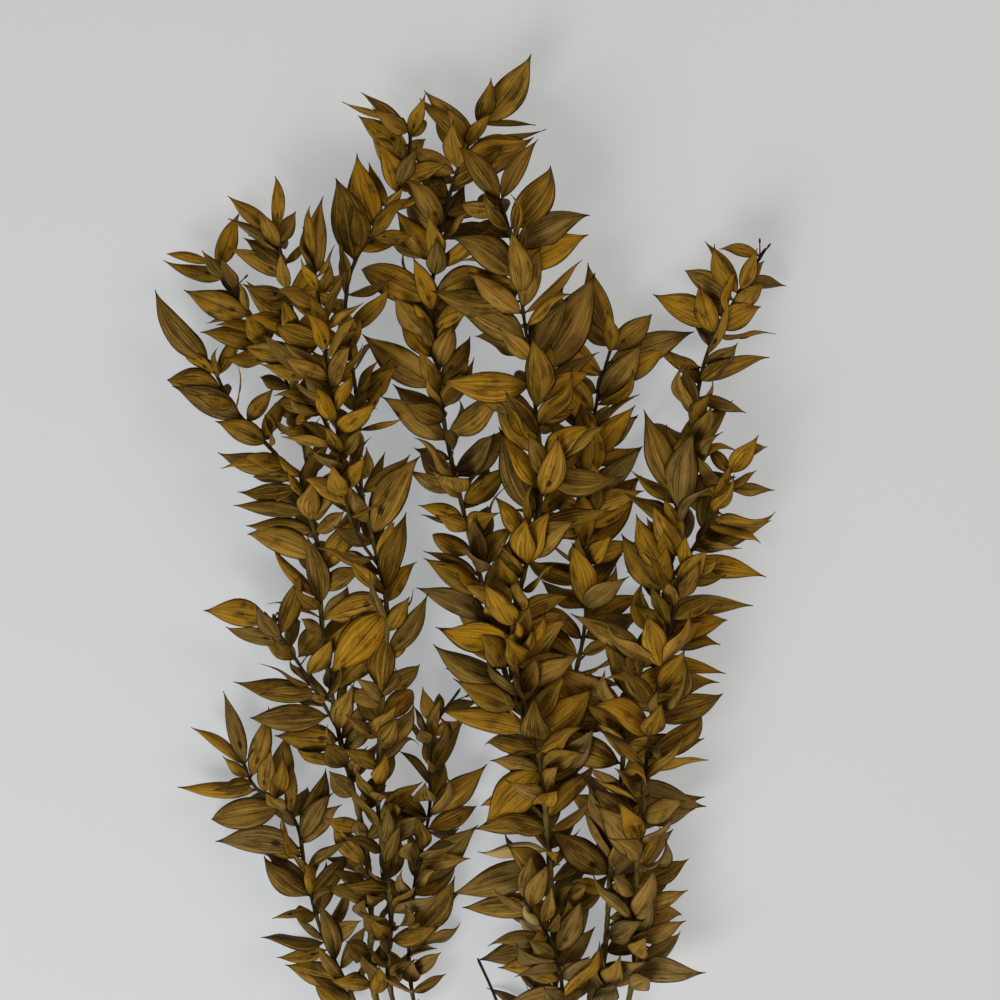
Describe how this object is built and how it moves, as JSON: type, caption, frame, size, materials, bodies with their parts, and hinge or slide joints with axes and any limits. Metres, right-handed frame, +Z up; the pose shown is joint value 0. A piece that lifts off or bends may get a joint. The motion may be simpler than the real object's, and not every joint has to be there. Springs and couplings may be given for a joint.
{
  "type": "dried ruscus stems",
  "caption": "Dried leafy ruscus stems in brown and ochre, lying loosely together with their cut ends side by side and the tips fanned out",
  "frame": {"origin": "on the surface, under the centre of the whole bunch's box", "axes": "+Y along the stems from the cut ends to the tips, +X to the right seen from above with the tips up, +Z up from the surface"},
  "size_m": [0.503, 0.9894, 0.1179],
  "materials": {
    "dry_leaf": "dry, matt with a faint satin sheen along the veins",
    "dry_wood": "dry ridged bark, matt"
  },
  "bodies": {
    "root": {"leafy_stem_left_low": "dry_leaf", "leafy_stem_left_thick": "dry_leaf", "leafy_stem_left_tall": "dry_leaf", "leafy_stem_mid_slim": "dry_leaf", "leafy_stem_centre": "dry_leaf", "leafy_stem_right": "dry_leaf", "leafy_stem_right_thick": "dry_leaf"}
  },
  "joints": []
}
